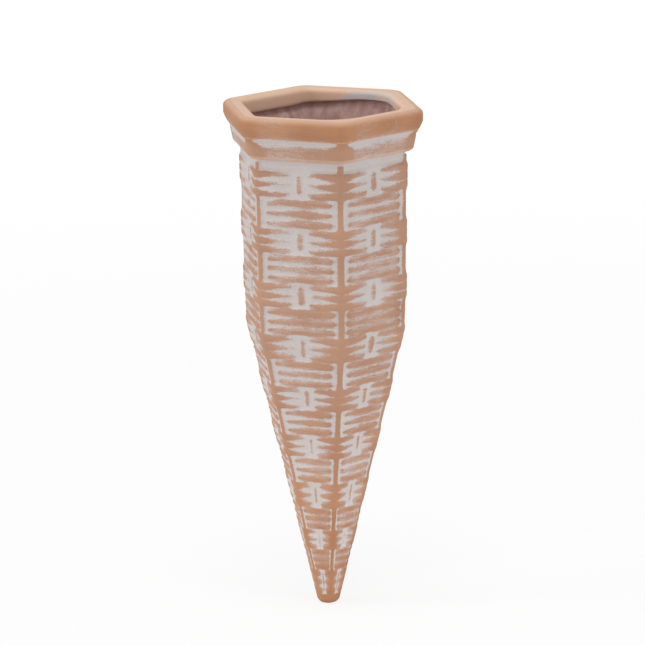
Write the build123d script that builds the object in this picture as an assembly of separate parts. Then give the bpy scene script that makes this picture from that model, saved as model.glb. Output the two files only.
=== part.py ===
from build123d import *
import math
import os

# Hollow watering spike of fired clay, moulded in one piece, in millimetres.
# It is six sided all the way down: a rolled rim, a collar under it, an upright
# body and a long taper to a blunt tip, with a basket weave moulded on the body.
# +Z points up. The origin is on the axis at the soil line, under the collar.
# Two opposite corners lie on the Y axis and two flats face along X.

# Heights and depths from the soil line
soil_line_to_rim = 14.8
soil_line_to_tip = 163.2
taper_start_depth = 61.0

# Widths over the flats
rim_across_flats = 63.6
collar_across_flats = 59.2
body_across_flats = 53.6
taper_start_across_flats = 52.0
tip_across_flats = 7.2

# Rim band and the collar under it
rim_band_height = 7.4
rim_roll = 2.4
rim_tuck = 1.4
rim_tuck_height = 3.2
collar_groove_depth = 0.6
collar_groove_height = 1.4
collar_batter = 0.8
collar_round = 2.0

# Bend from upright to taper, and the tip
taper_softness = 1.4
plain_tip_height = 3.9
tip_round = 1.4

# Mouth and hollow
mouth_across_flats = 51.0
mouth_round = 1.6
mouth_corner_round = 7.0
lip_height = 5.4
lip_undercut = 1.8
lip_undercut_height = 0.8
wall_thickness = 4.6
hollow_corner_round = 4.0
hollow_bend_reach = 9.0
hollow_end_across_flats = 3.4

# Weave relief, as depths below the tops of the reeds
stake_depth = 0.5
reed_groove_depth = 0.55
corner_groove_depth = 0.2
reed_dip_depth = 1.0
tip_relief_share = 0.2

# Weave rows from the soil line down, as heights in proportion to each other
head_band_height = 3.6
cross_row_shares = (1.04, 0.98, 0.96, 1.00, 0.91, 0.93, 1.05, 0.83, 1.03)
line_row_shares = (1.14, 1.10, 1.06, 1.09, 1.05, 1.04, 0.91, 0.90)
reeds_per_row = 3

# Places along a side, from the corner towards the middle of the flat
corner_stake_share = 0.045
corner_dip_share = 0.09
reed_end_share = 0.20
middle_dip_share = 0.40
middle_stake_share = 0.476

# Points over a rounded edge and round a corner of the hollow
round_steps = 3
corner_steps = 3

# A regular hexagon
sides = 6
half_turn = math.pi / sides
corner_per_flat = 1 / math.cos(half_turn)
side_per_flat = 2 * math.tan(half_turn)


def turned(x, y, angle):
    """The point turned about the axis."""
    return x * math.cos(angle) - y * math.sin(angle), x * math.sin(angle) + y * math.cos(angle)


def outer_outline(flat, depths):
    """A hexagon with cut corners, each place along a side sunk by its own depth."""
    shares = (corner_stake_share, corner_dip_share, reed_end_share, middle_dip_share, middle_stake_share)
    places = []
    for share, depth in zip(shares, depths):
        places.append((flat - depth, flat * side_per_flat * (share - 1 / 2)))
    places += [(x, -y) for x, y in reversed(places)]
    return [turned(x, y, 2 * half_turn * side) for side in range(sides) for x, y in places]


def inner_outline(flat, corner_round):
    """A hexagon a given distance from axis to flat, its corners drawn as arcs."""
    radius = min(corner_round, flat)
    centre = (flat - radius) * corner_per_flat
    outline = []
    for side in range(sides):
        for step in range(corner_steps + 1):
            swing = half_turn * (2 * step / corner_steps - 1)
            x = centre + radius * math.cos(swing)
            y = radius * math.sin(swing)
            outline.append(turned(x, y, half_turn + 2 * half_turn * side))
    return outline


def quarter_round(rise, inset):
    """Points over a rounded edge, as how far along it and how far in, from its foot."""
    points = []
    for step in range(round_steps + 1):
        angle = math.pi / 2 * step / round_steps
        points.append((rise * math.sin(angle), inset * (1 - math.cos(angle))))
    return points


def smooth_least(first, second, softness):
    """The smaller of two values, eased where they cross."""
    return (first + second - math.hypot(first - second, softness)) / 2


def taper_slope():
    """How much width over the flats the taper loses for each unit of depth."""
    taper_length = soil_line_to_tip - taper_start_depth
    return (taper_start_across_flats - tip_across_flats) / taper_length


def body_flat(height):
    """From axis to flat at a height: nearly upright at first, then tapering."""
    upright_slope = (body_across_flats - taper_start_across_flats) / taper_start_depth
    upright = body_across_flats + upright_slope * height
    taper = tip_across_flats + taper_slope() * (soil_line_to_tip + height)
    return smooth_least(upright, taper, taper_softness) / 2


def woven_level(height, depths):
    """One level of the weave, whose relief grows finer as the spike grows thin."""
    flat = body_flat(height)
    relief_share = tip_relief_share + (1 - tip_relief_share) * 2 * flat / body_across_flats
    return height, outer_outline(flat, [relief_share * depth for depth in depths])


def plain_level(height, flat):
    """One level with no weave."""
    return height, outer_outline(flat, (0.0, 0.0, 0.0, 0.0, 0.0))


def tip_levels():
    """The blunt foot, from its end up to the last woven row."""
    levels = []
    for along, inward in reversed(quarter_round(tip_round, tip_round)):
        height = tip_round - along - soil_line_to_tip
        levels.append(plain_level(height, body_flat(height) - inward))
    return levels


def row_levels(foot, height, is_cross):
    """One woven row: each reed a crown between two grooves, over or under its stakes."""
    groove = reed_groove_depth
    row_edge = (corner_groove_depth, groove, groove, groove, groove)
    if is_cross:
        grooves = (corner_groove_depth, corner_groove_depth, groove, reed_dip_depth, stake_depth)
        crowns = (0.0, 0.0, 0.0, reed_dip_depth, stake_depth)
    else:
        grooves = (stake_depth, reed_dip_depth, groove, groove, groove)
        crowns = (stake_depth, reed_dip_depth, 0.0, 0.0, 0.0)
    levels = [woven_level(foot, row_edge)]
    steps = 2 * reeds_per_row
    for step in range(1, steps):
        levels.append(woven_level(foot + height * step / steps, crowns if step % 2 else grooves))
    return levels


def weave_levels():
    """All rows from the tip up to the soil line, then the plain band under the collar."""
    weave_length = soil_line_to_tip - head_band_height - plain_tip_height
    row_unit = weave_length / (sum(cross_row_shares) + sum(line_row_shares))
    foot = plain_tip_height - soil_line_to_tip
    levels = []
    for row in reversed(range(len(cross_row_shares) + len(line_row_shares))):
        is_cross = row % 2 == 0
        share = (cross_row_shares if is_cross else line_row_shares)[row // 2]
        levels += row_levels(foot, row_unit * share, is_cross)
        foot += row_unit * share
    band = (stake_depth, reed_dip_depth, reed_dip_depth, reed_dip_depth, reed_dip_depth)
    return levels + [woven_level(foot, band), woven_level(0.0, band)]


def head_levels():
    """The flared head: a tucked collar, a groove, and the rim band with its rolled top."""
    rim = rim_across_flats / 2
    collar = collar_across_flats / 2
    band_foot = soil_line_to_rim - rim_band_height
    band_top = soil_line_to_rim - rim_roll
    collar_top = band_foot - collar_groove_height
    levels = []
    for along, inward in reversed(quarter_round(collar_round, collar_round)):
        levels.append(plain_level(collar_round - along, collar - collar_batter - inward))
    levels.append(plain_level(collar_top, collar))
    levels.append(plain_level((collar_top + band_foot) / 2, collar - collar_groove_depth))
    levels.append(plain_level(band_foot, rim - rim_tuck))
    levels.append(plain_level(band_foot + rim_tuck_height, rim))
    for along, inward in quarter_round(rim_roll, rim_roll):
        levels.append(plain_level(band_top + along, rim - inward))
    return levels


def hollow_levels():
    """The inside: a taper that follows the body, then shoulder, undercut, lip and mouth."""
    mouth = mouth_across_flats / 2
    end_width = hollow_end_across_flats + 2 * wall_thickness - tip_across_flats
    end_height = end_width / taper_slope() - soil_line_to_tip
    bend = -taper_start_depth
    levels = []
    for height in (end_height, bend - hollow_bend_reach, bend, bend + hollow_bend_reach, 0.0):
        levels.append((height, inner_outline(body_flat(height) - wall_thickness, hollow_corner_round)))
    collar_top = soil_line_to_rim - rim_band_height - collar_groove_height
    collar_flat = collar_across_flats / 2 - wall_thickness
    levels.append((collar_top, inner_outline(collar_flat, hollow_corner_round)))
    lip_foot = soil_line_to_rim - lip_height
    undercut_top = lip_foot - lip_undercut_height
    levels.append((undercut_top, inner_outline(mouth + lip_undercut, mouth_corner_round)))
    levels.append((lip_foot, inner_outline(mouth, mouth_corner_round)))
    for along, outward in quarter_round(mouth_round, mouth_round):
        height = soil_line_to_rim - mouth_round + along
        levels.append((height, inner_outline(mouth + outward, mouth_corner_round)))
    return levels


def wires_through(levels):
    """A closed wire at each level."""
    return [Wire.make_polygon([(x, y, height) for x, y in outline]) for height, outline in levels]


def terracotta_spike():
    """The fired clay wall: outside and inside skins, closed by the foot, floor and rim top."""
    outside = wires_through(tip_levels() + weave_levels() + head_levels())
    inside = wires_through(hollow_levels())
    skins = Shell.make_loft(outside, ruled=True).faces() + Shell.make_loft(inside, ruled=True).faces()
    closures = [Face(outside[0]), Face(inside[0]), Face(outside[-1], [inside[-1]])]
    return Solid(Shell([*skins, *closures])).clean()


os.makedirs("parts", exist_ok=True)
export_step(terracotta_spike(), "parts/terracotta_spike.step")
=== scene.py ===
import math

import bpy
import numpy as np
from mathutils import Euler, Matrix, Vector


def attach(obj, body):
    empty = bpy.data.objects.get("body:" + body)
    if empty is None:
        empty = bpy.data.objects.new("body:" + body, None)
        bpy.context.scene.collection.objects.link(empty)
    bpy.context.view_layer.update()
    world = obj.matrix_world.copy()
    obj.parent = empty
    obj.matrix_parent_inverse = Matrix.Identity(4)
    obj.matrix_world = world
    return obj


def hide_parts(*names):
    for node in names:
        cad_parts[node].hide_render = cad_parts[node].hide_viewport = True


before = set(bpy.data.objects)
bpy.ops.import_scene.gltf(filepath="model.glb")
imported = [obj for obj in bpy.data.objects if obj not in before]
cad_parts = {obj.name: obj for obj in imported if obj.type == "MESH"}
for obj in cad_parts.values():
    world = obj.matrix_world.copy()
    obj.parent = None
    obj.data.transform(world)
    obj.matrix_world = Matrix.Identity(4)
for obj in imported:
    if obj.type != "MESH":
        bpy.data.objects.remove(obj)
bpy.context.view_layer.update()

# A hollow watering spike of fired clay, seen alone on a pale floor.
# Blender works in metres. The sizes here are in millimetres, except where a comment says metres.
# The origin is on the axis at the soil line, under the collar, and +Z points up.
mm = 0.001

# Heights and depths from the soil line
soil_line_to_rim = 14.8
soil_line_to_tip = 163.2
taper_start_depth = 61.0

# Widths over the flats
rim_across_flats = 63.6
collar_across_flats = 59.2
body_across_flats = 53.6
taper_start_across_flats = 52.0
tip_across_flats = 7.2

# Rim band and the collar under it
rim_band_height = 7.4
rim_roll = 1.9
rim_tuck = 1.4
rim_tuck_height = 3.2
collar_groove_depth = 0.6
collar_groove_height = 1.4
collar_batter = 0.8
collar_round = 2.0
collar_foot_inset = 0.6

# Bend from upright to taper, and the tip
taper_softness = 1.4
plain_tip_height = 3.9
tip_round = 2.0

# Mouth and hollow
mouth_across_flats = 51.0
mouth_round = 1.6
lip_height = 5.4
lip_rise = 2.2
lip_foot_flare = 0.15
lip_foot_step = 0.7
lip_foot_step_height = 0.2
lip_undercut = 1.8
lip_undercut_height = 0.8
wall_thickness = 4.6
hollow_end_across_flats = 3.4

# Roundness of the six upright corners, from place to place. The mouth was trimmed by hand, so
# each of its corners differs: they start 30 degrees clockwise of +X and go round anticlockwise
rim_corner_round = 5.6
collar_corner_round = 4.2
body_corner_round = 3.0
mouth_corner_rounds = (12.0, 10.0, 4.0, 4.0, 5.0, 16.0)
hollow_corner_round = 4.0
tip_corner_share = 0.7
hollow_corner_share = 0.9

# Weave rows from the soil line down, as heights in proportion to each other
head_band_height = 3.6
cross_row_shares = (1.04, 0.98, 0.96, 1.00, 0.91, 0.93, 1.05, 0.83, 1.03)
line_row_shares = (1.14, 1.10, 1.06, 1.09, 1.05, 1.04, 0.91, 0.90)
row_count = len(cross_row_shares) + len(line_row_shares)
reeds_per_row = 3

# Share of the weave's depth that would be left where the spike narrows to a point
tip_relief_share = 0.2

# How much further the slip reaches in each row, as no two rows took it alike
cross_row_fills = (0.0, 0.0, 0.0, -0.09, -0.03, 0.0, 0.0, -0.12, -0.06)
line_row_fills = (0.0, -0.06, -0.30, 0.0, -0.02, 0.0, -0.06, 0.16)

# The part of each motif that grows finer more slowly than the spike grows thin, on a full side:
# the white stroke beside a corner stake, and half the block on the middle stake
stroke_core = 3.2
block_core = 3.4
core_thinning = 0.78

# The row place of a ring that has no weave
not_woven = -9.0

# Slip, as how far inside it a place lies, in millimetres: covered from 0.5 up, under an ever
# thinner film down to -2.4, and bare below. Wear is how much the clay is rubbed pale; on the rim's
# roll and land and round the mouth that paleness is also a painted highlight, and on the lip it is
# also painted light against the shade of the mouth. Where it starts or changes on a round is a
# share of the round's height
bare = -3.0
collar_foot_slip = 1.0
collar_round_slip = -0.8
collar_round_wear = 0.5
collar_wear_start = 0.3
rim_roll_slip = -2.2
rim_roll_wear_and_highlight = 0.8
land_wear_and_highlight = 1.2
mouth_top_wear_and_highlight = 1.2
mouth_foot_wear_and_highlight = 1.1
mouth_wear_and_highlight_change = 0.6
lip_slip = -2.3
lip_wear_and_painted_light = 1.1
lip_wash_slip = 0.3

# Rings up the collar: share of its height, slip
collar_rings = ((0.15, -0.95), (0.3, -1.0), (0.45, -0.95), (0.6, -0.7), (0.8, -0.2))

# Rings up the groove over the collar: share of its height, slip, share of its depth
groove_rings = ((0.0, 0.4, 0.2), (0.2, 0.75, 0.65), (0.4, 1.0, 1.0), (0.6, 1.2, 1.0), (0.8, 1.3, 0.6))

# Rings up the tuck under the rim: share of its height, share of its inset, slip, wear
tuck_rings = ((0.0, 1.12, 1.0, 0.0), (0.08, 0.92, -0.2, 0.5), (0.2, 0.78, -1.4, 0.1),
              (0.4, 0.57, -1.8, 0.0), (0.7, 0.27, -2.1, 0.0), (1.0, 0.03, -2.2, 0.0))

# The corners of the head, as ways from the corner on a full side: how far there is no groove and
# the slip is wiped back most, then where the groove is whole, and where the slip is. The last is
# how far the slip is wiped back at the corner
head_corner_wiped = 1.2
head_corner_groove = 3.4
head_corner_slip = 4.6
head_corner_slip_loss = 2.1

# The wash on one part of the lip, in degrees anticlockwise from +X. It ends further round, by some
# degrees for each millimetre down, and stops a little below the rim
wash_start, wash_start_full = -25, 5
wash_end, wash_end_fade, wash_end_lean = 60, 6, 2.4
wash_top_depth = 0.3

# The part of the lip that is shallower, in the same degrees: where it starts to rise, where it is
# up, where it starts to fall, and where it is down
rise_start, rise_top_start, rise_top_end, rise_end = -40, 10, 50, 100

# How finely the skin is divided: the ways along half a side, and the rings round each part
sides = 6
half_side_shares = (0.0, 0.018, 0.036, 0.052, 0.068, 0.086, 0.106, 0.13, 0.16, 0.195,
                    0.235, 0.275, 0.315, 0.352, 0.384, 0.412, 0.438, 0.46, 0.48)
rings_per_reed = 6
band_rings = 8
tip_round_rings = 6
plain_tip_rings = 5
collar_round_rings = 6
rim_roll_rings = 8
land_rings = 4
mouth_round_rings = 7
lip_rings = 6
shoulder_rings = 4
hollow_rings = 20

# A regular hexagon
half_turn = math.pi / sides
side_half = math.tan(half_turn)

# Settings that many nodes share
smooth = {"interpolation_type": "SMOOTHSTEP"}
mix = {"data_type": "RGBA"}
plus = {"operation": "ADD"}
minus = {"operation": "SUBTRACT"}
times = {"operation": "MULTIPLY"}
over = {"operation": "DIVIDE"}
least = {"operation": "MINIMUM"}

# Noise lies between these, but for rare peaks
noise_low, noise_high = 0.3, 0.7


def add(tree, kind, settings=None, inputs=None, output=0):
    """Adds a node with its settings, and the links or values of its inputs, and gives one output."""
    node = tree.nodes.new(kind)
    for name, value in (settings or {}).items():
        setattr(node, name, value)
    for key, value in (inputs or {}).items():
        if isinstance(value, bpy.types.NodeSocket):
            tree.links.new(value, node.inputs[key])
        else:
            node.inputs[key].default_value = value
    return node.outputs[output]


def colour(hex_value):
    """An sRGB hex colour as linear red, green, blue and alpha."""
    parts = [int(hex_value[i:i + 2], 16) / 255 for i in (1, 3, 5)]
    return [p / 12.92 if p <= 0.04045 else ((p + 0.055) / 1.055) ** 2.4 for p in parts] + [1.0]


def taper_slope():
    """How much width over the flats the taper loses for each unit of depth."""
    return (taper_start_across_flats - tip_across_flats) / (soil_line_to_tip - taper_start_depth)


def body_flat(height):
    """From axis to flat at a height: nearly upright at first, then tapering."""
    upright_slope = (body_across_flats - taper_start_across_flats) / taper_start_depth
    upright = body_across_flats + upright_slope * height
    taper = tip_across_flats + taper_slope() * (soil_line_to_tip + height)
    return (upright + taper - math.hypot(upright - taper, taper_softness)) / 4


def body_corner(flat):
    """How round the corners are where the body is this wide."""
    return min(body_corner_round, tip_corner_share * flat)


def quarter_round(rise, inset, steps):
    """Points over a rounded edge, as how far along it and how far in, from its foot."""
    angles = [math.pi / 2 * step / steps for step in range(steps + 1)]
    return [(rise * math.sin(a), inset * (1 - math.cos(a))) for a in angles]


def between(start, end, steps):
    """Values stepped evenly from start to end, leaving the end out."""
    return [start + (end - start) * step / steps for step in range(steps)]


def level(height, flat, corner, row_place=not_woven, slip=bare, carved=0.0, wear_and_painted_light=0.0,
          mouth=0.0, rises=0.0, inside=0.0):
    """One ring of the skin: its shape, its place in the weave, its slip, its groove and its wear, which on
    the rim's top, the mouth and the lip is also painted light.

    Then the share of the mouth's own corners in it, its share of the lip's rise, and whether it
    is inside, below the lip.
    """
    return height, flat, corner, row_place, slip, carved, wear_and_painted_light, mouth, rises, inside


def tip_levels():
    """The blunt foot of the spike and the plain clay above it."""
    levels = []
    for along, inward in reversed(quarter_round(tip_round, tip_round, tip_round_rings)):
        height = tip_round - along - soil_line_to_tip
        flat = body_flat(height) - inward
        levels.append(level(height, flat, body_corner(flat)))
    start, end = tip_round - soil_line_to_tip, plain_tip_height - soil_line_to_tip
    for height in between(start, end, plain_tip_rings)[1:]:
        levels.append(level(height, body_flat(height), body_corner(body_flat(height))))
    return levels


def woven_levels():
    """The woven rows from the lowest up, then the plain band under the collar."""
    weave_length = soil_line_to_tip - head_band_height - plain_tip_height
    row_unit = weave_length / (sum(cross_row_shares) + sum(line_row_shares))
    steps = reeds_per_row * rings_per_reed
    foot = plain_tip_height - soil_line_to_tip
    places = []
    for row in reversed(range(row_count)):
        share = (line_row_shares if row % 2 else cross_row_shares)[row // 2]
        for step in range(steps):
            places.append((foot + row_unit * share * step / steps, row + 1 - step / steps))
        foot += row_unit * share
    for step in range(band_rings + 1):
        places.append((foot * (1 - step / band_rings), -step / band_rings))
    return [level(z, body_flat(z), body_corner(body_flat(z)), place) for z, place in places]


def head_levels():
    """The flared head: a tucked collar, a groove, and the rim band with its rolled top."""
    rim = rim_across_flats / 2
    collar = collar_across_flats / 2
    collar_foot = collar - collar_batter
    band_foot = soil_line_to_rim - rim_band_height
    collar_top = band_foot - collar_groove_height
    foot_flat = collar_foot - collar_round - collar_foot_inset
    levels = [level(0.0, foot_flat, body_corner_round, slip=collar_foot_slip)]
    for along, inward in reversed(quarter_round(collar_round, collar_round, collar_round_rings)):
        ring_wear_and_light = collar_round_wear if along > collar_wear_start * collar_round else 0.0
        levels.append(level(collar_round - along, collar_foot - inward, collar_corner_round,
                            slip=collar_round_slip, wear_and_painted_light=ring_wear_and_light))
    for share, slip in collar_rings:
        height = collar_round + (collar_top - collar_round) * share
        levels.append(level(height, collar - collar_batter * (1 - share), collar_corner_round, slip=slip))
    for share, slip, depth_share in groove_rings:
        height = collar_top + collar_groove_height * share
        flat = collar + (rim - rim_tuck - collar) * share
        depth = collar_groove_depth * depth_share
        levels.append(level(height, flat, rim_corner_round, slip=slip, carved=depth))
    for share, inset_share, slip, ring_wear_and_light in tuck_rings:
        height = band_foot + rim_tuck_height * share
        levels.append(level(height, rim - rim_tuck * inset_share, rim_corner_round, slip=slip, wear_and_painted_light=ring_wear_and_light))
    for along, inward in quarter_round(rim_roll, rim_roll, rim_roll_rings):
        height = soil_line_to_rim - rim_roll + along
        # Painted highlight: the roll is made paler towards its top, as well as worn
        ring_wear_and_light = rim_roll_wear_and_highlight * (along / rim_roll) ** 2
        levels.append(level(height, rim - inward, rim_corner_round, slip=rim_roll_slip, wear_and_painted_light=ring_wear_and_light))
    return levels


def mouth_levels():
    """Over the flat land of the rim and round the edge of the mouth, down to the foot of the lip."""
    opening = mouth_across_flats / 2
    lip_foot = soil_line_to_rim - lip_height
    land = rim_across_flats / 2 - rim_roll
    corner = rim_corner_round
    levels = []
    for flat in between(land, opening + mouth_round, land_rings)[1:]:
        share = (land - flat) / (land - opening - mouth_round)
        # Painted highlight: the flat land is made paler, as well as worn
        levels.append(level(soil_line_to_rim, flat, corner, wear_and_painted_light=land_wear_and_highlight, mouth=share))
    for along, outward in reversed(quarter_round(mouth_round, mouth_round, mouth_round_rings)):
        height = soil_line_to_rim - mouth_round + along
        # Painted highlight: the edge of the mouth is made paler, most near its top, as well as worn
        ring_wear_and_light = mouth_top_wear_and_highlight if along > mouth_wear_and_highlight_change * mouth_round else mouth_foot_wear_and_highlight
        levels.append(level(height, opening + outward, corner, wear_and_painted_light=ring_wear_and_light, mouth=1.0))
    # Painted light: the lip, in the shade of the mouth, is made paler, as well as worn
    for step, height in enumerate(between(soil_line_to_rim - mouth_round, lip_foot, lip_rings)[1:], 1):
        levels.append(level(height, opening, corner, slip=lip_slip, wear_and_painted_light=lip_wear_and_painted_light, mouth=1.0,
                            rises=step / lip_rings))
    levels.append(level(lip_foot, opening + lip_foot_flare, corner, slip=lip_slip, wear_and_painted_light=lip_wear_and_painted_light,
                        mouth=1.0, rises=1.0))
    return levels


def hollow_levels():
    """Below the lip: the undercut, the shoulder inside the collar, and the tapering hollow."""
    opening = mouth_across_flats / 2
    lip_foot = soil_line_to_rim - lip_height
    undercut_top = lip_foot - lip_undercut_height
    corner = rim_corner_round
    levels = []
    for height, flat in ((lip_foot - lip_foot_step_height, opening + lip_foot_step),
                         (undercut_top, opening + lip_undercut)):
        levels.append(level(height, flat, corner, mouth=1.0, rises=1.0, inside=1.0))
    collar_top = soil_line_to_rim - rim_band_height - collar_groove_height
    shoulder = collar_across_flats / 2 - wall_thickness
    for step in range(1, shoulder_rings + 1):
        share = step / shoulder_rings
        height = undercut_top + (collar_top - undercut_top) * share
        flat = opening + lip_undercut + (shoulder - opening - lip_undercut) * share
        levels.append(level(height, flat, hollow_corner_round, mouth=1 - share, rises=1 - share,
                            inside=1.0))
    neck = body_flat(0.0) - wall_thickness
    for step in range(1, shoulder_rings):
        share = step / shoulder_rings
        flat = shoulder + (neck - shoulder) * share
        levels.append(level(collar_top * (1 - share), flat, hollow_corner_round, inside=1.0))
    end_width = hollow_end_across_flats + 2 * wall_thickness - tip_across_flats
    end_height = end_width / taper_slope() - soil_line_to_tip
    for height in between(0.0, end_height, hollow_rings) + [end_height]:
        flat = body_flat(height) - wall_thickness
        levels.append(level(height, flat, min(hollow_corner_round, hollow_corner_share * flat), inside=1.0))
    return levels


def part_way(values, start, end):
    """How far each value has come from start to end, from 0 to 1."""
    return np.clip((values - start) / (end - start), 0, 1)


def round_hexagon(flat, corner, share, turn):
    """Points round a hexagon with rounded corners, and the way that each faces, as an angle.

    Each side is straight in the middle and swings round an arc at its ends.
    """
    along = (2 * share - 1) * flat * side_half
    straight = (flat - corner) * side_half
    swing = np.clip((np.abs(along) - straight) / (corner * side_half), 0, 1) * half_turn
    out = np.where(swing > 0, flat - corner + corner * np.cos(swing), flat)
    way = np.where(swing > 0, straight + corner * np.sin(swing), np.abs(along)) * np.sign(along)
    x = out * np.cos(turn) - way * np.sin(turn)
    y = out * np.sin(turn) + way * np.cos(turn)
    return x, y, turn + swing * np.sign(along)


def full_side_ways(flat, off_middle):
    """Ways from the corner and from the middle of the side, as they are on a full side.

    The core of each motif keeps more of its size as the spike grows thin, and the rest of the
    motif fills the side.
    """
    full_half = body_across_flats / 2 * side_half
    half = flat * side_half
    finer = (half / full_half) ** core_thinning
    ways = []
    for part, core in ((1 - off_middle, stroke_core), (off_middle, block_core)):
        core_part = core * finer / half
        beyond = core + (part - core_part) / (1 - core_part) * (full_half - core)
        ways.append(np.where(part < core_part, part * half / finer, beyond))
    return ways


def closed_mesh(points, rings, columns):
    """A mesh of four-sided faces between rings of points, closed by a fan at either end.

    The last two points are the middles of the two fans.
    """
    ring_start = np.arange(rings - 1)[:, None] * columns
    here = np.arange(columns)[None, :]
    after = (here + 1) % columns
    quads = np.stack([ring_start + here, ring_start + after,
                      ring_start + columns + after, ring_start + columns + here], -1).reshape(-1, 4)
    low, high, last = len(points) - 2, len(points) - 1, (rings - 1) * columns
    faces = quads.tolist()
    faces += [(int(b), int(a), low) for a, b in zip(here[0], after[0])]
    faces += [(last + int(a), last + int(b), high) for a, b in zip(here[0], after[0])]
    mesh = bpy.data.meshes.new("woven_spike")
    mesh.from_pydata(points.tolist(), [], faces)
    mesh.polygons.foreach_set("use_smooth", [True] * len(mesh.polygons))
    return mesh


def spike_skin():
    """The closed skin with smooth sides, and what the weave needs to know at each point of it."""
    levels = np.array(tip_levels() + woven_levels() + head_levels() + mouth_levels() + hollow_levels())
    height, flat, corner, row_place, slip, carved, wear_and_painted_light, mouth, rises, inside = (
        column[:, None] for column in levels.T)
    side = np.array(list(half_side_shares) + [0.5] + [1 - s for s in reversed(half_side_shares[1:])])
    share = np.tile(side, sides)[None, :]
    side_number = np.repeat(np.arange(sides), len(side))[None, :]
    which_corner = (side_number + (share > 0.5)) % sides
    corner = corner * (1 - mouth) + np.array(mouth_corner_rounds)[which_corner] * mouth
    x, y, facing = round_hexagon(flat, corner, share, 2 * half_turn * side_number)
    rings, columns = x.shape

    off_middle = np.abs(2 * share - 1)
    from_corner, from_middle = full_side_ways(flat, off_middle)
    relief = tip_relief_share + (1 - tip_relief_share) * 2 * flat / body_across_flats
    relief = np.where(row_place > not_woven, relief, 0)

    # The slip is wiped back at the corners of the head
    outside = (mouth == 0) & (inside == 0)
    wiped = 1 - part_way(from_corner, head_corner_wiped, head_corner_slip)
    slip = slip - head_corner_slip_loss * wiped * outside

    # The wash lies thick on one part of the lip, and the lip is shallower there
    angle = np.degrees(np.arctan2(y, x))
    end = wash_end + wash_end_lean * (soil_line_to_rim - height)
    washed = part_way(angle, end, end - wash_end_fade) * part_way(angle, wash_start, wash_start_full)
    on_lip = (mouth == 1) & (inside == 0) & (height < soil_line_to_rim - wash_top_depth)
    slip = slip + (lip_wash_slip - slip) * washed * on_lip
    raised = part_way(angle, rise_start, rise_top_start) * part_way(angle, rise_end, rise_top_end)
    height = height + lip_rise * rises * raised

    numbers = {
        "corner_way": from_corner,
        "middle_way": from_middle,
        "row_place": row_place,
        "relief": relief,
        "plain_slip": slip,
        "wear_and_painted_light": wear_and_painted_light,
        "carved": carved * part_way(from_corner, head_corner_wiped, head_corner_groove),
        "off_middle": off_middle,
        "lean": np.sin(2 * np.pi * share),
        "cross_fill": np.interp(row_place, np.arange(0.5, row_count, 2), cross_row_fills),
        "line_fill": np.interp(row_place, np.arange(1.5, row_count, 2), line_row_fills),
        "inside": inside,
    }
    points = np.stack([x, y, np.broadcast_to(height, x.shape)], -1).reshape(-1, 3)
    poles = np.array([[0, 0, levels[0][0]], [0, 0, levels[-1][0]]])
    mesh = closed_mesh(np.concatenate([points, poles]) * mm, rings, columns)
    for name, values in numbers.items():
        at_poles = [0.0, 1.0 if name == "inside" else 0.0]
        values = np.concatenate([np.broadcast_to(values, x.shape).ravel(), at_poles])
        layer = mesh.attributes.new(name, "FLOAT", "POINT")
        layer.data.foreach_set("value", values.astype(np.float32))
    outward = np.stack([np.cos(facing), np.sin(facing), 0 * facing], -1).reshape(-1, 3)
    outward = np.concatenate([outward, np.zeros((2, 3))])
    layer = mesh.attributes.new("outward", "FLOAT_VECTOR", "POINT")
    layer.data.foreach_set("vector", outward.astype(np.float32).ravel())
    mesh.update()
    return mesh


# Sizes of the weave that the Geometry Nodes take, in millimetres. A size that names a slip is how
# far it reaches from the groove between two reeds, and hardly any is left where that is below 0
weave_sizes = {
    "Reed pitch": 3.05,
    "Groove depth": 0.55,
    "Corner groove depth": 0.25,
    "Dip depth": 1.0,
    "Stake depth": 0.5,
    "Corner stake half width": 1.9,
    "Middle stake half width": 1.05,
    "Stroke reach": 2.5,
    "Stroke turn": 2.6,
    "Block reach": 2.5,
    "Block turn": 1.6,
    "Line slip at corner": 0.75,
    "Line slip at middle": 0.32,
    "Line edge slip": 1.5,
    "Line edge reach": 11.0,
    "Cross slip": 1.85,
    "Cross slip at corner": -0.36,
    "Cross edge slip": 2.2,
    "Cross edge reach": 7.0,
    "Half side": 15.5,
    "Wobble": 1.0,
    "Wobble size": 6.0,
    "Width change": 0.6,
    "Width change size": 12.0,
    "Unevenness": 0.25,
    "Unevenness size": 22.0,
}

# The seed of the hand work, and the step from it to the seed of the changes in width
weave_seed = 4.0
width_seed_step = 7.0

# Slip where it fills a stroke or a block and where that ends, how softly it turns into a line,
# and how much longer the stroke or block is where the row is fuller
full_slip = 2.4
no_slip = -0.4
turn_softness = 0.5
reach_per_fill = 2.5

# How far into its row a place lies, as the sine of its way up the row, which is 0 at the row's
# edges and 0.5 on the outer reeds: where the edge grooves give way to the inner ones, and where
# the bare mark on a middle stake starts and is whole
edge_groove_end, inner_groove_start = 0.34, 0.62
mark_start, mark_whole = 0.26, 0.70

# Shares of the relief, which is 1 at the head and least at the tip: where the slip lessens, by
# how much in each kind of row, and where the marks on the middle stakes grow thin
slip_lessens_below, slip_least_at = 0.62, 0.42
line_slip_loss, cross_slip_loss = -0.75, -0.35
mark_thins_below, mark_thinnest_at = 1.0, 0.45
thinnest_mark, no_mark = 0.1, -1.0

# How far past the edge of its stake a reed starts to rise and is up, how far from the stake the
# valley beside it reaches its last depth, and the slip at the top and the foot of a reed's flank
reed_rise_start, reed_rise_end = 0.6, 1.3
line_valley_reach, cross_valley_reach = 7.0, 12.0
flank_top, flank_foot = -0.9, 0.5

# The plain band under the collar, with row places from 0 at its foot to -1 at its top: where the
# corner stakes end, how far their ends draw back, its slip, and its flanks
stake_end_start, stake_end = -0.62, -0.80
stake_end_gap = 4.0
band_slip_most = 1.2
band_flank = 0.5

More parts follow.
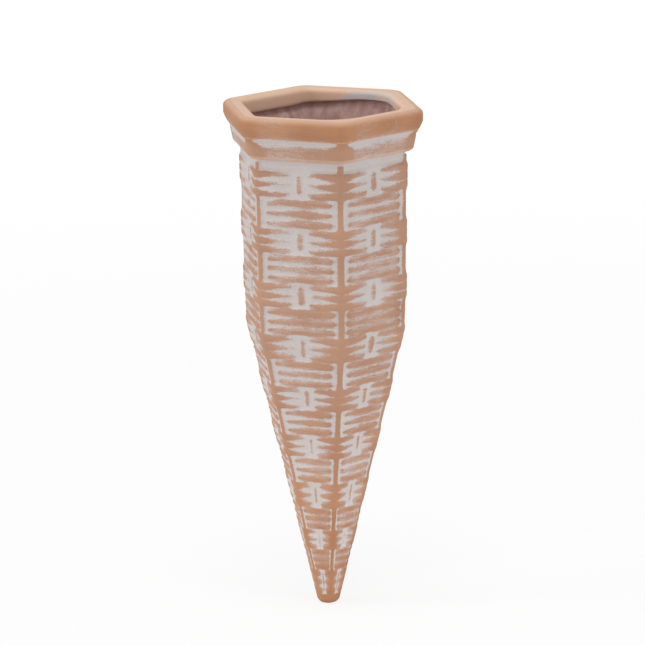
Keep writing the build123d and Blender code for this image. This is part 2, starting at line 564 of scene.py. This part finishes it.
# Half the blend between two rows, in the sine of the way up the rows, for slip and for depth,
# and half the blend between the highest row and the band, in rows
row_blend_slip, row_blend_depth = 0.15, 0.45
band_blend = 0.10


def hand_shifts(tree, given, place):
    """Hand work, as slow noise in millimetres: three ways that a line wanders, and its change of width."""
    shifts = []
    for size, amount, seed_step, count in (("Wobble size", "Wobble", 0.0, 3),
                                           ("Width change size", "Width change", width_seed_step, 1)):
        finer = add(tree, "ShaderNodeMath", over, {0: 1.0, 1: given[size]})
        seed = add(tree, "ShaderNodeMath", plus, {0: given["Seed"], 1: seed_step})
        wander = add(tree, "ShaderNodeTexNoise", {"noise_dimensions": "4D"},
                     {"Vector": place, "W": seed, "Scale": finer, "Detail": 2.0}, "Color")
        parts = tree.nodes.new("ShaderNodeSeparateXYZ")
        tree.links.new(wander, parts.inputs[0])
        for output in parts.outputs[:count]:
            centred = add(tree, "ShaderNodeMath", minus, {0: output, 1: 0.5})
            shifts.append(add(tree, "ShaderNodeMath", times, {0: centred, 1: given[amount]}))
    return shifts


def middle_mark(tree, given, row):
    """Half the width of the bare mark on a middle stake, which thins to the row's edges and the tip."""
    grown = add(tree, "ShaderNodeMapRange", None, {
        "Value": row["relief"], "From Min": mark_thinnest_at, "From Max": mark_thins_below,
        "To Min": thinnest_mark, "To Max": given["Middle stake half width"]})
    return add(tree, "ShaderNodeMapRange", smooth, {
        "Value": row["in_row"], "From Min": mark_start, "From Max": mark_whole,
        "To Min": no_mark, "To Max": grown})


def motif(tree, given, row, way, fill, core, stake, half_mark, slip_loss, inner, edge, valley):
    """How far inside the slip each place in one kind of row lies, and how deep it is sunk.

    The slip fills all beside a stake, then thins along the reeds to a line or a point. Inner and
    edge hold its reach from the grooves inside the row and at the row's edges: beside the stake,
    at the far end, and the way to that end. Valley holds its depth at its end, and the way there.
    """
    core_reach = add(tree, "ShaderNodeMath", {"operation": "MULTIPLY_ADD"},
                     {0: fill, 1: reach_per_fill, 2: given[core + " reach"]})
    turn_end = add(tree, "ShaderNodeMath", plus, {0: core_reach, 1: given[core + " turn"]})
    turn = add(tree, "ShaderNodeMapRange", None, {
        "Value": way, "From Min": core_reach, "From Max": turn_end, "To Min": full_slip, "To Max": no_slip})
    reaches = []
    for start, end, end_way in (inner, edge):
        ramp = add(tree, "ShaderNodeMapRange", None, {
            "Value": way, "From Min": 0.0, "From Max": end_way, "To Min": start, "To Max": end})
        reaches.append(add(tree, "ShaderNodeMath", {"operation": "SMOOTH_MAX"},
                           {0: turn, 1: ramp, 2: turn_softness}))
    reach = add(tree, "ShaderNodeMapRange", smooth, {
        "Value": row["in_row"], "From Min": edge_groove_end, "From Max": inner_groove_start,
        "To Min": reaches[1], "To Max": reaches[0]})
    reach = add(tree, "ShaderNodeMath", plus, {0: reach, 1: row["width_shift"]})
    reach = add(tree, "ShaderNodeMath", plus, {0: reach, 1: fill})
    lessened = add(tree, "ShaderNodeMapRange", None, {
        "Value": row["relief"], "From Min": slip_least_at, "From Max": slip_lessens_below,
        "To Min": slip_loss, "To Max": 0.0})
    reach = add(tree, "ShaderNodeMath", plus, {0: reach, 1: lessened})
    between_reeds = add(tree, "ShaderNodeMath", minus, {0: reach, 1: row["from_groove"]})
    beside_stake = add(tree, "ShaderNodeMath", minus, {0: way, 1: half_mark})
    inside_slip = add(tree, "ShaderNodeMath", least, {0: between_reeds, 1: beside_stake})
    rise_from = add(tree, "ShaderNodeMath", plus, {0: given[stake], 1: reed_rise_start})
    rise_to = add(tree, "ShaderNodeMath", plus, {0: given[stake], 1: reed_rise_end})
    top_depth = add(tree, "ShaderNodeMapRange", smooth, {
        "Value": way, "From Min": rise_from, "From Max": rise_to,
        "To Min": given["Stake depth"], "To Max": 0.0})
    end_depth, end_way = valley
    valley_depth = add(tree, "ShaderNodeMapRange", smooth, {
        "Value": way, "From Min": core_reach, "From Max": end_way,
        "To Min": given["Dip depth"], "To Max": end_depth})
    depth = add(tree, "ShaderNodeMapRange", smooth, {
        "Value": inside_slip, "From Min": flank_top, "From Max": flank_foot,
        "To Min": top_depth, "To Max": valley_depth})
    return inside_slip, depth


def plain_band(tree, given, row_place, corner_way):
    """The band under the collar, sunk all round but for the tops of the corner stakes."""
    top_gap = add(tree, "ShaderNodeMapRange", smooth, {
        "Value": row_place, "From Min": stake_end, "From Max": stake_end_start,
        "To Min": stake_end_gap, "To Max": 0.0})
    beside_stake = add(tree, "ShaderNodeMath", plus, {0: corner_way, 1: top_gap})
    beside_stake = add(tree, "ShaderNodeMath", minus,
                       {0: beside_stake, 1: given["Corner stake half width"]})
    inside_slip = add(tree, "ShaderNodeMath", least, {0: beside_stake, 1: band_slip_most})
    depth = add(tree, "ShaderNodeMapRange", smooth, {
        "Value": inside_slip, "From Min": -band_flank, "From Max": band_flank,
        "To Min": given["Stake depth"], "To Max": given["Dip depth"]})
    return inside_slip, depth


def weave_tree():
    """Geometry Nodes that press the weave into the skin and note how far inside the slip it lies."""
    tree = bpy.data.node_groups.new("basket_weave", "GeometryNodeTree")
    face = tree.interface
    face.new_socket("Geometry", in_out="OUTPUT", socket_type="NodeSocketGeometry")
    face.new_socket("Geometry", in_out="INPUT", socket_type="NodeSocketGeometry")
    face.new_socket("Reeds in a row", in_out="INPUT", socket_type="NodeSocketInt")
    face.new_socket("Seed", in_out="INPUT", socket_type="NodeSocketFloat")
    face.new_socket("Clay", in_out="INPUT", socket_type="NodeSocketMaterial")
    for name in weave_sizes:
        face.new_socket(name, in_out="INPUT", socket_type="NodeSocketFloat")
    given = tree.nodes.new("NodeGroupInput").outputs
    named = {name: add(tree, "GeometryNodeInputNamedAttribute", {"data_type": "FLOAT"}, {"Name": name})
             for name in ("corner_way", "middle_way", "row_place", "relief", "plain_slip", "carved",
                          "line_fill", "cross_fill")}
    place = add(tree, "ShaderNodeVectorMath", {"operation": "SCALE"},
                {0: add(tree, "GeometryNodeInputPosition"), "Scale": 1 / mm})
    corner_shift, middle_shift, up_shift, width_shift = hand_shifts(tree, given, place)
    corner_way = add(tree, "ShaderNodeMath", plus, {0: named["corner_way"], 1: corner_shift})
    middle_way = add(tree, "ShaderNodeMath", plus, {0: named["middle_way"], 1: middle_shift})
    row_height = add(tree, "ShaderNodeMath", times, {0: given["Reed pitch"], 1: given["Reeds in a row"]})
    row_shift = add(tree, "ShaderNodeMath", over, {0: up_shift, 1: row_height})
    row_place = add(tree, "ShaderNodeMath", plus, {0: named["row_place"], 1: row_shift})

    # Up the rows: how far from the groove between two reeds, and how far into the row. The sine
    # is above 0 in rows of crosses and below 0 in rows of lines
    reed_place = add(tree, "ShaderNodeMath", times, {0: row_place, 1: given["Reeds in a row"]})
    crown = add(tree, "ShaderNodeMath", {"operation": "PINGPONG"}, {0: reed_place, 1: 0.5})
    row_angle = add(tree, "ShaderNodeMath", times, {0: row_place, 1: math.pi})
    row_wave = add(tree, "ShaderNodeMath", {"operation": "SINE"}, {0: row_angle})
    row = {
        "from_groove": add(tree, "ShaderNodeMath", times, {0: crown, 1: given["Reed pitch"]}),
        "in_row": add(tree, "ShaderNodeMath", {"operation": "ABSOLUTE"}, {0: row_wave}),
        "relief": named["relief"],
        "width_shift": width_shift,
    }
    line = motif(
        tree, given, row, corner_way, named["line_fill"], "Stroke", "Corner stake half width",
        half_mark=given["Corner stake half width"], slip_loss=line_slip_loss,
        inner=(given["Line slip at corner"], given["Line slip at middle"], given["Half side"]),
        edge=(given["Line edge slip"], no_slip, given["Line edge reach"]),
        valley=(given["Groove depth"], line_valley_reach))
    cross = motif(
        tree, given, row, middle_way, named["cross_fill"], "Block", "Middle stake half width",
        half_mark=middle_mark(tree, given, row), slip_loss=cross_slip_loss,
        inner=(given["Cross slip"], given["Cross slip at corner"], given["Half side"]),
        edge=(given["Cross edge slip"], no_slip, given["Cross edge reach"]),
        valley=(given["Corner groove depth"], cross_valley_reach))
    band = plain_band(tree, given, named["row_place"], corner_way)
    blended = []
    for in_line, in_cross, in_band, blend in zip(line, cross, band, (row_blend_slip, row_blend_depth)):
        woven = add(tree, "ShaderNodeMapRange", smooth, {
            "Value": row_wave, "From Min": -blend, "From Max": blend,
            "To Min": in_line, "To Max": in_cross})
        blended.append(add(tree, "ShaderNodeMapRange", smooth, {
            "Value": row_place, "From Min": -band_blend, "From Max": band_blend,
            "To Min": in_band, "To Max": woven}))
    woven_slip, depth = blended

    # The whole form is a little uneven too, always inwards, so the spike keeps its size
    coarser = add(tree, "ShaderNodeMath", over, {0: 1.0, 1: given["Unevenness size"]})
    lump = add(tree, "ShaderNodeTexNoise", {"noise_dimensions": "4D"},
               {"Vector": place, "W": given["Seed"], "Scale": coarser, "Detail": 2.0})
    lump = add(tree, "ShaderNodeMapRange", None, {
        "Value": lump, "From Min": noise_low, "From Max": noise_high,
        "To Min": 0.0, "To Max": given["Unevenness"]})
    pressed = add(tree, "ShaderNodeMath", times, {0: depth, 1: named["relief"]})
    inward = add(tree, "ShaderNodeMath", plus, {0: pressed, 1: lump})
    inward = add(tree, "ShaderNodeMath", plus, {0: inward, 1: named["carved"]})
    inward = add(tree, "ShaderNodeMath", times, {0: inward, 1: -mm})
    outward = add(tree, "GeometryNodeInputNamedAttribute", {"data_type": "FLOAT_VECTOR"},
                  {"Name": "outward"})
    move = add(tree, "ShaderNodeVectorMath", {"operation": "SCALE"}, {0: outward, "Scale": inward})
    shaped = add(tree, "GeometryNodeSetPosition", None, {"Geometry": given["Geometry"], "Offset": move})
    woven_part = add(tree, "ShaderNodeMath", {"operation": "GREATER_THAN"}, {0: named["relief"], 1: 0.0})
    slip_reach = add(tree, "ShaderNodeMix", {"data_type": "FLOAT"},
                     {0: woven_part, 2: named["plain_slip"], 3: woven_slip})
    stored = add(tree, "GeometryNodeStoreNamedAttribute", {"data_type": "FLOAT", "domain": "POINT"},
                 {"Geometry": shaped, "Name": "slip_reach", "Value": slip_reach})
    whole = add(tree, "GeometryNodeRealizeInstances", None, {"Geometry": stored})
    finished = add(tree, "GeometryNodeSetMaterial", None, {"Geometry": whole, "Material": given["Clay"]})
    tree.links.new(finished, tree.nodes.new("NodeGroupOutput").inputs["Geometry"])
    return tree


# Colours of the clay, dry and matt, and of the slip on it
clay_dark, clay_light, clay_speck = "#AC7A58", "#B88663", "#A37152"
slip_grey, slip_white = "#BDB5B2", "#D6D0CE"
haze_pink, scratch_pale, rubbed_and_lit_peach = "#C2AEA6", "#D0C2BC", "#E6C3AA"
hollow_mauve, hollow_run = "#AA847C", "#C2A59E"

# Noises of the surface: the size of their marks in millimetres, how much they are squeezed in
# height, their detail and their roughness. Streaks and hairs are drawn out along the reeds, as
# wiping leaves them, and the runs in the hollow are drawn out down it
surface_noises = {
    "mottle": (14.0, 1.0, 4.0, 0.5),
    "grain": (0.5, 1.0, 3.0, 0.5),
    "streak": (1.6, 3.6, 4.0, 0.6),
    "hair": (5.0, 9.0, 4.0, 0.65),
    "blotch": (9.0, 1.0, 3.0, 0.5),
    "wash": (25.0, 1.0, 2.0, 0.5),
    "runs": (2.6, 0.35, 4.0, 0.5),
}


def dry_clay(tree, noise):
    """Bare clay, mottled over about 14 mm and grained over about 0.5 mm."""
    spread = add(tree, "ShaderNodeMapRange", smooth,
                 {"Value": noise["mottle"], "From Min": 0.32, "From Max": 0.68})
    clay = add(tree, "ShaderNodeMix", mix, {0: spread, 6: colour(clay_dark), 7: colour(clay_light)}, 2)
    speck = add(tree, "ShaderNodeMapRange", smooth, {
        "Value": noise["grain"], "From Min": 0.35, "From Max": 0.75, "To Min": 0.0, "To Max": 0.3})
    return add(tree, "ShaderNodeMix", mix, {0: speck, 6: clay, 7: colour(clay_speck)}, 2)


def uneven_reach(tree, noise, read, across, height):
    """How far inside the slip a place lies, once its edge is streaked, hairy, blotched and grained.

    The slip also leans to one side of each flat, lies thicker on the spike's left, partly as a painted
    highlight of that side, was wiped thinner on its right, lies thicker near the head and is gone from the
    tip.
    """
    changes = (
        ("streak", noise["streak"], noise_low, noise_high, -0.26, 0.26),
        ("hair", noise["hair"], noise_low, noise_high, -0.22, 0.22),
        ("blotch", noise["blotch"], noise_low, noise_high, -0.26, 0.26),
        ("grain", noise["grain"], noise_low, noise_high, -0.17, 0.17),
        ("lean", read["lean"], -1.0, 1.0, -0.14, 0.14),
        # More slip on the spike's left: partly real slip, partly a painted highlight of that side
        ("left side slip and highlight", across, -26 * mm, -18 * mm, 0.26, 0.03),
        ("wiped side", across, 1 * mm, 7 * mm, 0.0, -0.13),
        ("head", height, -34 * mm, -14 * mm, 0.04, 0.18),
        ("tip", height, -153 * mm, -146 * mm, -0.70, 0.05),
    )
    reach = read["slip_reach"]
    for name, value, low, high, at_low, at_high in changes:
        change = add(tree, "ShaderNodeMapRange", {"label": name}, {
            "Value": value, "From Min": low, "From Max": high, "To Min": at_low, "To Max": at_high})
        reach = add(tree, "ShaderNodeMath", plus, {0: reach, 1: change})
    return reach


def haze(tree, noise, read, reach, across, height):
    """The share of a pinkish film round the slip and over the reeds.

    It is wiped off the corners and lies in clouds, hairs and grains, thicker near the head and on
    the wiped side. Below the rim a thin even dust takes its place where there is less of it.
    """
    film = add(tree, "ShaderNodeMapRange", smooth, {"Value": reach, "From Min": -2.4, "From Max": 0.2})
    shares = (
        ("off the corners", smooth, read["off_middle"], 0.9, 0.5, 0.0, 1.0),
        ("clouds", smooth, noise["wash"], 0.38, 0.64, 0.50, 1.0),
        ("hairs", {}, noise["hair"], noise_low, noise_high, 0.45, 1.3),
        ("grains", {}, noise["grain"], 0.35, 0.65, 0.65, 1.35),
        ("head", smooth, height, -60 * mm, -25 * mm, 0.85, 1.0),
        ("wiped side", smooth, across, 1 * mm, 7 * mm, 1.0, 1.3),
    )
    for name, settings, value, low, high, at_low, at_high in shares:
        share = add(tree, "ShaderNodeMapRange", settings | {"label": name}, {
            "Value": value, "From Min": low, "From Max": high, "To Min": at_low, "To Max": at_high})
        film = add(tree, "ShaderNodeMath", times, {0: film, 1: share})
    dust = add(tree, "ShaderNodeMapRange", smooth, {
        "Value": height, "From Min": -155 * mm, "From Max": -60 * mm, "To Min": 0.0, "To Max": 0.22})
    below_rim = add(tree, "ShaderNodeMapRange", smooth,
                    {"Value": height, "From Min": 8 * mm, "From Max": 4 * mm})
    dust = add(tree, "ShaderNodeMath", times, {0: dust, 1: below_rim})
    return add(tree, "ShaderNodeMath", {"operation": "MAXIMUM"}, {0: film, 1: dust})


def scratches(tree, place, height):
    """The share of short, pale, slanting scratches on the head, where a stretched noise peaks."""
    drawn_out = add(tree, "ShaderNodeMapping", None, {
        "Vector": place, "Rotation": (0.0, math.radians(38), math.radians(25)), "Scale": (1.0, 1.0, 0.12)})
    scratch = add(tree, "ShaderNodeTexNoise", None,
                  {"Vector": drawn_out, "Scale": 1 / (0.9 * mm), "Detail": 1.0})
    scratch = add(tree, "ShaderNodeMapRange", smooth,
                  {"Value": scratch, "From Min": 0.70, "From Max": 0.76})
    on_head = add(tree, "ShaderNodeMapRange", smooth, {
        "Value": height, "From Min": 1 * mm, "From Max": 3 * mm, "To Min": 0.0, "To Max": 0.6})
    return add(tree, "ShaderNodeMath", times, {0: scratch, 1: on_head})


def washed_terracotta():
    """Terracotta, slip cast, washed with pale slip and wiped before firing.

    The eye sees a dull, dusty orange clay. A chalky grey white lies in every groove, thinning
    to a pinkish haze on the flats, and the crowns of the reeds and the corners are wiped bare.
    """
    material = bpy.data.materials.new("slip_washed_terracotta")
    material.use_nodes = True
    tree = material.node_tree
    tree.nodes.clear()
    place = add(tree, "ShaderNodeTexCoord", output="Object")
    parts = tree.nodes.new("ShaderNodeSeparateXYZ")
    tree.links.new(place, parts.inputs[0])
    across, height = parts.outputs["X"], parts.outputs["Z"]
    read = {name: add(tree, "ShaderNodeAttribute", {"attribute_name": name}, output="Fac")
            for name in ("slip_reach", "inside", "off_middle", "lean", "wear_and_painted_light")}
    noise = {}
    for name, (size, squeeze, detail, roughness) in surface_noises.items():
        spot = place
        if squeeze != 1.0:
            spot = add(tree, "ShaderNodeMapping", None, {"Vector": place, "Scale": (1.0, 1.0, squeeze)})
        noise[name] = add(tree, "ShaderNodeTexNoise", {"label": name}, {
            "Vector": spot, "Scale": 1 / (size * mm), "Detail": detail, "Roughness": roughness})

    # Outside, from the clay up: haze, scratches, edges rubbed to a paler peach that is partly painted
    # light, then the slip
    reach = uneven_reach(tree, noise, read, across, height)
    clay = dry_clay(tree, noise)
    film = haze(tree, noise, read, reach, across, height)
    outer = add(tree, "ShaderNodeMix", mix, {0: film, 6: clay, 7: colour(haze_pink)}, 2)
    scratched = scratches(tree, place, height)
    outer = add(tree, "ShaderNodeMix", mix, {0: scratched, 6: outer, 7: colour(scratch_pale)}, 2)
    # Rubbed peach: wear, with painted highlight on the rim's top and the mouth's edge and painted light on
    # the lip
    rubbed_and_lit = add(tree, "ShaderNodeMath", times, {0: read["wear_and_painted_light"], 1: 0.75})
    outer = add(tree, "ShaderNodeMix", mix, {0: rubbed_and_lit, 6: outer, 7: colour(rubbed_and_lit_peach)}, 2)
    slip = add(tree, "ShaderNodeMapRange", smooth, {"Value": reach, "From Min": -0.30, "From Max": 0.50})
    cover = add(tree, "ShaderNodeMapRange", None, {
        "Value": noise["blotch"], "From Min": noise_low, "From Max": noise_high,
        "To Min": 0.86, "To Max": 1.0})
    slip = add(tree, "ShaderNodeMath", times, {0: slip, 1: cover})
    thick = add(tree, "ShaderNodeMix", mix,
                {0: noise["grain"], 6: colour(slip_grey), 7: colour(slip_white)}, 2)
    outer = add(tree, "ShaderNodeMix", mix, {0: slip, 6: outer, 7: thick}, 2)

    # Painted light and shade: clay and slip are made a little lighter towards the tip and a little darker
    # at the head
    painted_light_by_height = add(tree, "ShaderNodeMapRange", smooth, {
        "Value": height, "From Min": -155 * mm, "From Max": -20 * mm, "To Min": 1.10, "To Max": 0.95})
    outer = add(tree, "ShaderNodeMix", mix | {"blend_type": "MULTIPLY"}, {0: 1.0, 6: outer, 7: painted_light_by_height}, 2)

    # Inside, below the lip: mauve brown with pale runs
    runs = add(tree, "ShaderNodeMapRange", smooth,
               {"Value": noise["runs"], "From Min": 0.3, "From Max": 0.8})
    inner = add(tree, "ShaderNodeMix", mix, {0: runs, 6: colour(hollow_mauve), 7: colour(hollow_run)}, 2)
    whole = add(tree, "ShaderNodeMix", mix, {0: read["inside"], 6: outer, 7: inner}, 2)

    # Dull all over, with the grain and the streaks standing up by about a tenth of a millimetre
    dull = add(tree, "ShaderNodeMapRange", None, {"Value": noise["mottle"], "To Min": 0.78, "To Max": 0.92})
    roughened = add(tree, "ShaderNodeMath", plus, {0: noise["grain"], 1: noise["streak"]})
    bump = add(tree, "ShaderNodeBump", None,
               {"Strength": 0.35, "Distance": 0.12 * mm, "Height": roughened})
    surface = add(tree, "ShaderNodeBsdfPrincipled", None, {
        "Base Color": whole, "Roughness": dull, "Normal": bump, "IOR": 1.5, "Specular IOR Level": 0.35})
    tree.links.new(surface, tree.nodes.new("ShaderNodeOutputMaterial").inputs["Surface"])
    return material


def pressed_spike(clay):
    """The spike: the smooth skin with the weave pressed into it, as one plain mesh."""
    spike = bpy.data.objects.new("woven_clay_spike", spike_skin())
    bpy.context.scene.collection.objects.link(spike)
    tree = weave_tree()
    press = spike.modifiers.new("weave", "NODES")
    press.node_group = tree
    values = weave_sizes | {"Reeds in a row": reeds_per_row, "Seed": weave_seed, "Clay": clay}
    for item in tree.interface.items_tree:
        if item.item_type == "SOCKET" and item.in_out == "INPUT" and item.name in values:
            press[item.identifier] = values[item.name]
    graph = bpy.context.evaluated_depsgraph_get()
    shaped = bpy.data.meshes.new_from_object(
        spike.evaluated_get(graph), preserve_all_data_layers=True, depsgraph=graph)
    spike.modifiers.clear()
    spike.data = shaped
    return spike


# The floor, in metres, and how white it is to the camera near the spike, where its shadow lies
floor_colour = "#F3F3F3"
floor_half_width = 6.0
near_reach, white_reach = 0.2, 0.8
near_whiteness = 0.85

# Light of the pale surround on the spike, and as the camera sees it
surround_light, surround_seen = 0.55, 1.0

# The soft panels of the studio: their places and widths in metres, and their powers in watts
panels = {
    "front_left": ((-0.9, -1.5, 0.12), 0.5, 2.2),
    "front_right": ((1.25, -1.25, 0.12), 0.5, 7.4),
    "left": ((-1.6, 0.1, 0.4), 0.8, 9.5),
    "above": ((-0.1, -0.35, 1.5), 0.8, 9.0),
}

# The camera, fitted to the outline in the photograph: angles in degrees, lengths in millimetres
camera_azimuth = -11.3
camera_elevation = 14.53
camera_roll = -0.72
camera_tilt_up = 0.38
camera_pan = -0.007
camera_distance = 1436
camera_aside, camera_up = -1.14, 2.13
lens_length = 231.5
sensor_width = 36.0

# The nearest and the farthest that the camera sees, in metres
nearest_seen, farthest_seen = 0.05, 50.0


def pale_floor():
    """A plain floor at the tip, white to the camera but for the shadow near the spike."""
    mesh = bpy.data.meshes.new("floor")
    corners = ((-1, -1), (1, -1), (1, 1), (-1, 1))
    mesh.from_pydata([(x * floor_half_width, y * floor_half_width, -soil_line_to_tip * mm)
                      for x, y in corners], [], [(0, 1, 2, 3)])
    floor = bpy.data.objects.new("floor", mesh)
    bpy.context.scene.collection.objects.link(floor)
    material = bpy.data.materials.new("matt_white_board")
    material.use_nodes = True
    tree = material.node_tree
    tree.nodes.clear()
    board = add(tree, "ShaderNodeBsdfDiffuse", None, {"Color": colour(floor_colour)})
    white = add(tree, "ShaderNodeEmission", None, {"Color": (1, 1, 1, 1), "Strength": 1.0})
    seen = add(tree, "ShaderNodeLightPath", output="Is Camera Ray")
    away = add(tree, "ShaderNodeVectorMath", {"operation": "LENGTH"},
               {0: add(tree, "ShaderNodeTexCoord", output="Object")}, "Value")
    whiteness = add(tree, "ShaderNodeMapRange", smooth, {
        "Value": away, "From Min": near_reach, "From Max": white_reach,
        "To Min": near_whiteness, "To Max": 1.0})
    share = add(tree, "ShaderNodeMath", times, {0: seen, 1: whiteness})
    both = add(tree, "ShaderNodeMixShader", None, {0: share, 1: board, 2: white})
    tree.links.new(both, tree.nodes.new("ShaderNodeOutputMaterial").inputs["Surface"])
    mesh.materials.append(material)


def studio_light():
    """A pale surround and four soft panels that face the spike: two in front, one left, one above."""
    world = bpy.data.worlds.new("pale_surround")
    bpy.context.scene.world = world
    world.use_nodes = True
    tree = world.node_tree
    tree.nodes.clear()
    seen = add(tree, "ShaderNodeLightPath", output="Is Camera Ray")
    strength = add(tree, "ShaderNodeMapRange", None,
                   {"Value": seen, "To Min": surround_light, "To Max": surround_seen})
    glow = add(tree, "ShaderNodeBackground", None, {"Color": (1, 1, 1, 1), "Strength": strength})
    tree.links.new(glow, tree.nodes.new("ShaderNodeOutputWorld").inputs["Surface"])
    for name, (spot, width, power) in panels.items():
        lamp = bpy.data.lights.new(name, "AREA")
        lamp.shape = "DISK"
        lamp.size = width
        lamp.energy = power
        panel = bpy.data.objects.new(name, lamp)
        panel.location = spot
        panel.rotation_euler = Vector(spot).to_track_quat("Z", "Y").to_euler()
        bpy.context.scene.collection.objects.link(panel)


def camera():
    """A long lens a little above the spike and a little to its left, as in the photograph."""
    azimuth, elevation = math.radians(camera_azimuth), math.radians(camera_elevation)
    back = Vector((math.sin(azimuth) * math.cos(elevation),
                   -math.cos(azimuth) * math.cos(elevation), math.sin(elevation)))
    lens = bpy.data.cameras.new("camera")
    lens.sensor_width = sensor_width
    lens.lens = lens_length
    lens.clip_start, lens.clip_end = nearest_seen, farthest_seen
    eye = bpy.data.objects.new("camera", lens)
    turn = (-back).to_track_quat("-Z", "Y")
    middle = Vector((0, 0, (soil_line_to_rim - soil_line_to_tip) / 2 * mm))
    aside = turn @ Vector((camera_aside * mm, camera_up * mm, 0.0))
    eye.location = middle + back * (camera_distance * mm) + aside
    roll = Euler((0, 0, math.radians(camera_roll))).to_quaternion()
    aim = Euler((math.radians(camera_tilt_up), math.radians(camera_pan), 0)).to_quaternion()
    eye.rotation_mode = "QUATERNION"
    eye.rotation_quaternion = turn @ roll @ aim
    bpy.context.scene.collection.objects.link(eye)
    bpy.context.scene.camera = eye


bpy.context.scene.view_settings.view_transform = "Standard"
camera()
studio_light()
pale_floor()
spike = pressed_spike(washed_terracotta())
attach(spike, "root")
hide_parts("terracotta_spike")
